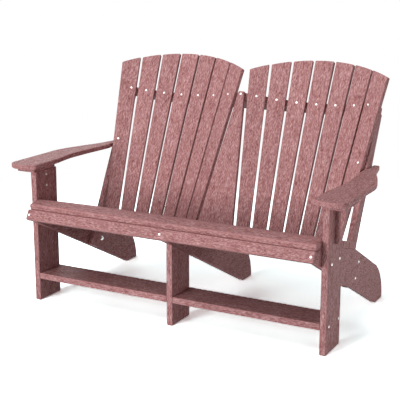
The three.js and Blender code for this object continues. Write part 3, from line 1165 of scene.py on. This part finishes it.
@dataclass
class FanBack:
    """Two fans of seven slats, each slat wider upwards and turned to the middle of its fan."""

    count: int = 7
    step: float = math.radians(7.446)
    turn_share: float = 0.85
    radius: float = 660.0
    depth: float = 222.9
    spread: float = 0.00038747
    rake: float = -0.0318
    gap: float = 9.525
    crown: float = 1207.4
    crown_radius: float = 606.0
    low: float = 421.0
    top_steps: int = 14
    crown_rounds: int = 6
    rail_screw_in: float = 0.45
    side_screw: Point = (777.5, 0.38)

    def scale(self, height: float) -> float:
        """How much wider the fan is than at the upper rail."""
        return 1.0 + self.spread * (height - SIZES.rail_height)

    def angle(self, index: int) -> float:
        """Angle of a slat on its fan's curve, counted from 0."""
        return (index - (self.count - 1) / 2) * self.step

    def middle(self, angle: float, height: float, centre: float = 0.0) -> Vector:
        """Middle of a slat's front face, in reclined coordinates.

        Args:
            angle: Angle of the slat on the fan's curve.
            height: Height along the recline.
            centre: Middle of the fan.

        Returns:
            The place.
        """
        radius = self.radius * self.scale(height)
        axis = self.depth + self.rake * (height - SIZES.rail_height) - radius
        return Vector((centre + radius * math.sin(angle), axis + radius * math.cos(angle), height))

    def half_width(self, height: float) -> float:
        """Half the width of a slat."""
        chord = 2 * self.radius * math.sin(self.step / 2)
        return (chord * self.scale(height) - self.gap) / 2

    def slat(self, node: str, centre: float, angle: float) -> tuple[Board, Plotter]:
        """Lay out one slat.

        Args:
            node: Name of its node.
            centre: Middle of its fan.
            angle: Its angle on the fan's curve.

        Returns:
            The board, and a function from height and share of the half width to its plane.
        """
        level = SIZES.rail_height
        turn = angle * self.turn_share
        across = Vector((math.cos(turn), -math.sin(turn), 0.0))
        origin = self.middle(angle, level, centre)
        run = self.middle(angle, level + 1.0, centre) - origin
        up = (run - across * run.dot(across)).normalized()

        def at(height: float, share: float) -> Vector:
            """Find a place in the slat's plane.

            Args:
                height: Height along the recline.
                share: Share of the half width, counted to the right.

            Returns:
                The place.
            """
            rise = height - level
            sideways = run.dot(across) * rise + share * self.half_width(height)
            return Vector((sideways, run.dot(up) * rise))

        points = [at(self.low, -1.0), at(self.low, 1.0)]
        for i in range(self.top_steps + 1):
            share = 1.0 - 2.0 * i / self.top_steps
            height = self.crown
            for _ in range(self.crown_rounds):
                sideways = share * self.half_width(height) * math.cos(turn)
                offset = self.middle(angle, height).x + sideways
                drop = math.sqrt(self.crown_radius ** 2 - offset ** 2)
                height = self.crown - self.crown_radius + drop
            points.append(at(height, share))
        place = RECLINED @ plane(across, up, origin)
        return Board(node, points, SIZES.thin, place, -SIZES.thin, Grain.SECOND), at

    def back_at(self, angle: float, height: float, x: float) -> float:
        """Depth of a slat's rear face at a distance from the fan's middle.

        Args:
            angle: Angle of the slat on the fan's curve.
            height: Height along the recline.
            x: Distance from the fan's middle.

        Returns:
            The depth, in reclined coordinates.
        """
        turn = angle * self.turn_share
        centre = self.middle(angle, height)
        back_x = centre.x + SIZES.thin * math.sin(turn)
        back_depth = centre.y + SIZES.thin * math.cos(turn)
        return back_depth - (x - back_x) * math.tan(turn)

    def hollow_edge(self, low: float, high: float, end: float, tongue: float) -> list[Vector]:
        """Front edge of a rail: a flat for every slat, and a flat tongue in the middle.

        Args:
            low: Lower face of the rail.
            high: Upper face of the rail.
            end: Half the rail's length.
            tongue: Depth of the tongue.

        Returns:
            Points from the left end to the right end.
        """

        def clear(angle: float, x: float) -> float:
            """Depth that clears a slat over the whole thickness of the rail."""
            return max(self.back_at(angle, low, x), self.back_at(angle, high, x)) + SIZES.gap

        level = (low + high) / 2
        points: list[Vector] = []
        for i in range(self.count):
            angle = self.angle(i)
            turn = angle * self.turn_share
            middle = self.middle(angle, level).x + SIZES.thin * math.sin(turn)
            half = self.half_width(level) * math.cos(turn)
            reach = (tongue - clear(angle, 0.0)) / -math.tan(turn) if i == 0 else middle - half
            far = end - SIZES.fan_middle if i == self.count - 1 else middle + half
            points.append(Vector((SIZES.fan_middle + reach, clear(angle, reach))))
            points.append(Vector((SIZES.fan_middle + far, clear(angle, far))))
        mirrored = [Vector((-point.x, point.y)) for point in reversed(points)]
        return mirrored + points

    def build(self, shop: Workshop, rails: "BackFrame") -> None:
        """Make both fans with their screws.

        Args:
            shop: Workshop that makes them.
            rails: The rails that they are screwed to.
        """
        for side in Side:
            spots: list[Matrix] = []
            for i in range(self.count):
                node = f"back_slat_{side.tag}_{i + 1}"
                board, at = self.slat(node, side.value * SIZES.fan_middle, self.angle(i))
                shop.cut(board)
                outermost = i == (0 if side is Side.LEFT else self.count - 1)
                drawn_in = self.rail_screw_in if outermost else 0.0
                spots.append(board.spot(*at(SIZES.rail_height, -side.value * drawn_in)))
                spots.append(board.spot(*at(rails.lower_middle, 0.0)))
                if outermost:
                    height, share = self.side_screw
                    spots.append(board.spot(*at(height, side.value * share)))
            shop.drive(f"back_screws_{side.tag}", Screw(), spots)


@dataclass
class BackFrame:
    """Rails behind the slats, the uprights that carry them, and the panel between the fans."""

    upright_width: float = 57.15
    upper_end: float = 590.0
    upper_back: float = 311.3
    upper_flat: float = 360.0
    upper_end_back: float = 252.0
    upper_round: float = 75.0
    upper_drop: float = 24.0
    lower_back: float = 342.3
    wedge_depth: float = 159.0
    wedge_rake: float = -0.0502
    wedge_half: float = 14.75
    wedge_flare: float = -0.1156

    @property
    def lower_low(self) -> float:
        """Lower face of the lower rail."""
        return SIZES.stringer_high + SIZES.gap

    @property
    def lower_middle(self) -> float:
        """Mid height of the lower rail."""
        return self.lower_low + SIZES.board / 2

    def wedge_front(self, height: float) -> float:
        """Depth of the centre panel's front face."""
        return self.wedge_depth + self.wedge_rake * (height - SIZES.rail_height)

    def tongue(self, low: float) -> float:
        """Depth of a rail's tongue behind the centre panel."""
        return self.wedge_front(low) + SIZES.thin + SIZES.gap

    def rails(self, fan: FanBack) -> list[Board]:
        """Lay out both rails.

        Args:
            fan: The fans in front of them.

        Returns:
            The upper and the lower rail.
        """
        size = SIZES
        low = size.rail_height - size.board / 2
        line = Outline()
        line.points.extend(
            fan.hollow_edge(low, low + size.board, self.upper_end, self.tongue(low)))
        outer = self.upper_end - self.upper_round
        inner = self.upper_flat + self.upper_round
        drawn = self.upper_back - self.upper_drop
        line.to(self.upper_end, self.upper_end_back)
        line.curve((outer, drawn), (inner, self.upper_back), (self.upper_flat, self.upper_back))
        line.to(-self.upper_flat, self.upper_back)
        line.curve((-inner, self.upper_back), (-outer, drawn),
                   (-self.upper_end, self.upper_end_back))
        upper = Board("back_rail_upper", line.points, size.board, RECLINED, low)

        low = self.lower_low
        end = size.upright_in - size.gap
        line = Outline()
        line.points.extend(fan.hollow_edge(low, low + size.board, end, self.tongue(low)))
        line.to(end, self.lower_back).to(-end, self.lower_back)
        return [upper, Board("back_rail_lower", line.points, size.board, RECLINED, low)]

    def uprights(self) -> list[Board]:
        """Lay out the narrow boards on edge inside the outer stringers.

        Returns:
            The left and the right one.
        """
        size = SIZES
        top = size.rail_height - size.board / 2 - size.gap
        section = rectangle(size.upright_depth, size.stringer_low,
                            size.upright_depth + self.upright_width, top)
        trim = size.board - size.gap
        left = -size.stringer_in + size.gap
        return [
            Board("upright_left", section, trim, RECLINED_SIDE, left, Grain.SECOND),
            Board("upright_right", section, trim, RECLINED_SIDE, size.upright_in, Grain.SECOND),
        ]

    def panel(self) -> Board:
        """Lay out the tapered board between the fans.

        Returns:
            The panel.
        """
        size = SIZES
        level = size.rail_height
        up = Vector((0.0, self.wedge_rake, 1.0)).normalized()
        place = RECLINED @ plane(AXIS_X, up, Vector((0.0, self.wedge_depth, level)))
        stretch = math.hypot(1.0, self.wedge_rake)
        points = []
        for height, side in ((self.lower_low, -1), (self.lower_low, 1),
                             (level + size.board / 2, 1), (level + size.board / 2, -1)):
            half = self.wedge_half + self.wedge_flare * (height - level)
            points.append(Vector((side * half, (height - level) * stretch)))
        return Board("back_panel_center", points, size.thin, place, -size.thin, Grain.SECOND)

    def build(self, shop: Workshop, fan: FanBack) -> None:
        """Make the rails, uprights and panel with the panel's screws.

        Args:
            shop: Workshop that makes them.
            fan: The fans in front of the rails.
        """
        panel = self.panel()
        for board in (*self.rails(fan), *self.uprights(), panel):
            shop.cut(board)
        low = self.lower_middle - SIZES.rail_height
        shop.drive("panel_screws", Screw(), [panel.spot(0.0, 0.0), panel.spot(0.0, low)])


# Arms


@dataclass
class Arms:
    """Contoured arms, with the plate and the bracket under each."""

    out: float = 716.0
    inside: float = 590.5
    front: float = -34.0
    bow: float = 28.0
    handle: float = 40.0
    corner: float = 18.0
    tip: float = 12.0
    side_end: float = 250.0
    lobe: Station = Station(680.0, 396.0, drift=-0.35)
    neck: Station = Station(637.0, 515.0, drift=-0.208)
    tail: float = 610.0
    tail_corner: float = 6.0
    tail_turn: float = 518.5
    elbow: Station = Station(588.0, 500.0)
    hip: Station = Station(599.5, 360.0, drift=-0.075)
    waist: Station = Station(605.5, 235.0)
    wrist: float = 85.0
    plate_out: float = 702.0
    plate_front: float = -10.0
    bracket_depth: float = 56.0
    bracket_low: float = 405.0
    bracket_out: float = 685.0
    bracket_drift: float = 0.12
    toe: Station = Station(665.0, 425.0, drift=0.25)
    toe_in: float = 7.0
    curve_steps: int = 20

    def arm_outline(self, side: Side) -> list[Vector]:
        """Draw the arm: bowed front, rounded lobe, narrow tail, waisted inside.

        Args:
            side: Side it is on.

        Returns:
            The outline, seen from above.
        """
        out, inside, front, corner = self.out, self.inside, self.front, self.corner
        edge = SIZES.stringer_in + SIZES.gap
        line = Outline(side, self.curve_steps)
        line.to(inside, front)
        line.curve((inside + self.handle, front - self.bow), (out - self.handle, front - self.bow),
                   (out - corner, front - self.tip))
        line.bend((out, front), (out, front + corner))
        line.to(out, self.side_end)
        line.sweep(Station(out, self.side_end), self.lobe)
        line.sweep(self.lobe, self.neck)
        tail_side = self.tail - self.tail_corner
        tail_x = self.neck.across + (tail_side - self.neck.along) * self.neck.drift
        line.to(tail_x, tail_side)
        line.bend((tail_x, self.tail), (tail_x - self.tail_corner, self.tail))
        line.to(edge, self.tail).to(edge, self.tail_turn)
        line.to(self.elbow.across, self.elbow.along)
        line.sweep(self.elbow, self.hip)
        line.sweep(self.hip, self.waist)
        line.sweep(self.waist, Station(inside, self.wrist))
        return line.points

    def bracket_outline(self, side: Side) -> list[Vector]:
        """Draw the bracket: straight against the leg, bowed outside, a toe below.

        Args:
            side: Side it is on.

        Returns:
            The outline, seen from the front.
        """
        inner = SIZES.leg_out + SIZES.gap
        top = SIZES.leg_top - SIZES.gap
        line = Outline(side)
        line.to(inner, self.bracket_low).to(inner, top).to(self.bracket_out, top)
        line.sweep(Station(self.bracket_out, top, self.bracket_drift), self.toe)
        line.bend((self.toe.across - self.toe_in, self.bracket_low),
                  (inner + self.toe_in, self.bracket_low))
        return line.points

    def build(self, shop: Workshop) -> None:
        """Make both arms with their plates and brackets.

        Args:
            shop: Workshop that makes them.
        """
        size = SIZES
        for side in Side:
            x0, x1 = sorted((side.value * size.leg_in, side.value * self.plate_out))
            plate = rectangle(x0, 0.0, x1, size.wide)
            plate_plane = plane(AXIS_X, AXIS_Y, Vector((0.0, self.plate_front, 0.0)))
            shop.cut(Board(f"arm_{side.tag}", self.arm_outline(side), size.thin, ON_FLOOR,
                           size.arm_low, Grain.SECOND))
            shop.cut(Board(f"arm_plate_{side.tag}", plate, size.thin, plate_plane, size.leg_top,
                           Grain.SECOND))
            shop.cut(Board(f"arm_bracket_{side.tag}", self.bracket_outline(side), size.board,
                           FACING_BACK, -self.bracket_depth - size.board, Grain.SECOND))


# Studio


@dataclass
class Lamp:
    """A soft rectangular lamp that looks at the middle of the object."""

    name: str
    place: Triple
    size: float
    power: float
    aim: Triple = (0.0, 0.0, 0.45)

    def build(self) -> None:
        """Hang the lamp."""
        light = bpy.data.lights.new(self.name, "AREA")
        light.shape = "SQUARE"
        light.size = self.size
        light.energy = self.power
        lamp = stand(self.name, light)
        lamp.location = self.place
        direction = Vector(self.aim) - Vector(self.place)
        lamp.rotation_euler = direction.to_track_quat("-Z", "Y").to_euler()


@dataclass
class Studio:
    """White floor, soft lamps and the camera."""

    shadow_share: float = 0.80
    # The gain raises what the camera sees of the floor, and the bounce holds down what the floor
    # sends back to the object.
    floor_gain: Triple = (3.75, 4.35, 4.35)
    floor_bounce: float = 0.45
    floor_light: Tint = (252, 252, 252)
    floor_dull: Tint = (250, 250, 250)
    floor_cloud: Pattern = Pattern((3.0, 3.0, 3.0))
    floor_half: float = 9.0
    fade_near: float = 1.5
    fade_far: float = 2.6
    camera_place: Triple = (1.80966, -3.10857, 1.39025)
    camera_pitch: float = math.pi / 2 - 0.2422
    camera_yaw: float = 0.4942
    lens: float = 88.77
    sensor: float = 36.0
    sight: float = 100.0
    lamps: list[Lamp] = field(default_factory=lambda: [
        Lamp("key_lamp", (-2.5, -8.8, 0.8), size=2.4, power=505.0),
        Lamp("high_key_lamp", (-2.5, -8.0, 3.4), size=2.4, power=186.0),
        Lamp("front_top_lamp", (-0.3, -2.5, 5.0), size=3.0, power=58.0),
        Lamp("top_lamp", (-0.4, -0.4, 5.0), size=3.5, power=84.0),
        Lamp("front_right_lamp", (5.0, -4.5, 0.8), size=2.4, power=66.0),
        Lamp("right_lamp", (6.5, -1.0, 0.5), size=2.4, power=42.0),
        Lamp("back_right_lamp", (5.0, 3.0, 0.4), size=2.4, power=93.0),
        Lamp("back_left_lamp", (-4.35, 4.6, 1.8), size=2.5, power=60.0),
    ])

    def camera_rays(self, desk: Desk) -> Signal:
        """Tell rays that come from the camera, or by way of gloss or glass, from the rest.

        Args:
            desk: Desk of the material or world that asks.

        Returns:
            1 for those rays and 0 for the others.
        """
        path = desk.node("ShaderNodeLightPath")
        seen = (path.out("Is Camera Ray") + path.out("Is Glossy Ray")
                + path.out("Is Transmission Ray"))
        return seen.between(0.0, 1.0)

    def build_world(self) -> None:
        """Show the world white to the camera, to gloss and to glass; it lights nothing else."""
        world = bpy.data.worlds.new("studio_world")
        world.use_nodes = True
        bpy.context.scene.world = world
        desk = Desk(world.node_tree)
        back = desk.node("ShaderNodeBackground", None,
                         {"Color": WHITE, "Strength": self.camera_rays(desk)})
        desk.node("ShaderNodeOutputWorld", None, {"Surface": back.out()})

    def build_floor(self) -> None:
        """Lay a pale floor that keeps the shadow and fades to white around it."""
        material, desk = new_material("studio_floor")
        place = desk.node("ShaderNodeTexCoord").out("Object")
        reach = desk.node("ShaderNodeVectorMath", {"operation": "LENGTH"}, {0: place}).out("Value")
        fade = reach.between(self.fade_near, self.fade_far)
        seen = self.camera_rays(desk)
        cloud = desk.noise(place, self.floor_cloud)
        pale = desk.blend(cloud, linear(*self.floor_light), linear(*self.floor_dull))
        bounce = (self.floor_bounce, self.floor_bounce, self.floor_bounce, 1.0)
        pale = desk.blend(seen, bounce, desk.stretched(pale, self.floor_gain))
        matt = desk.node("ShaderNodeBsdfDiffuse", None, {"Color": pale})
        white = desk.node("ShaderNodeEmission", None, {"Color": WHITE, "Strength": 1.0})
        cover = (fade * self.shadow_share + (1.0 - self.shadow_share)) * seen
        mixed = desk.node("ShaderNodeMixShader", None, {0: cover, 1: matt.out(), 2: white.out()})
        desk.node("ShaderNodeOutputMaterial", None, {"Surface": mixed.out()})
        bm = bmesh.new()
        bmesh.ops.create_grid(bm, x_segments=2, y_segments=2, size=self.floor_half)
        mesh = bpy.data.meshes.new("studio_floor")
        bm.to_mesh(mesh)
        bm.free()
        mesh.materials.append(material)
        stand("studio_floor", mesh)

    def build_camera(self) -> None:
        """Stand the camera at the viewing angle."""
        lens = bpy.data.cameras.new("camera")
        lens.lens = self.lens
        lens.sensor_width = self.sensor
        lens.clip_end = self.sight
        camera = stand("camera", lens)
        camera.location = Vector(self.camera_place) + Vector((0.0, legs_front(), 0.0))
        camera.rotation_euler = (self.camera_pitch, 0.0, self.camera_yaw)
        bpy.context.scene.camera = camera

    def build(self) -> None:
        """Set the whole studio up."""
        self.build_world()
        self.build_floor()
        for lamp in self.lamps:
            lamp.build()
        self.build_camera()
        bpy.context.scene.view_settings.view_transform = "Standard"


# Main


def main() -> None:
    """Build the studio and every piece in order."""
    logging.basicConfig(level=logging.INFO, format="%(name)s: %(message)s")
    Studio().build()
    shop = Workshop()
    seat = Seat()
    fan = FanBack()
    rails = BackFrame()
    FrontLegs().build(shop)
    SideFrame().build(shop, seat)
    seat.build(shop)
    Shelves().build(shop)
    fan.build(shop, rails)
    rails.build(shop, fan)
    Arms().build(shop)
    LOG.info("lumber slot and %d nodes of the frame dressed", len(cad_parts))


if __name__ == "__main__":
    main()
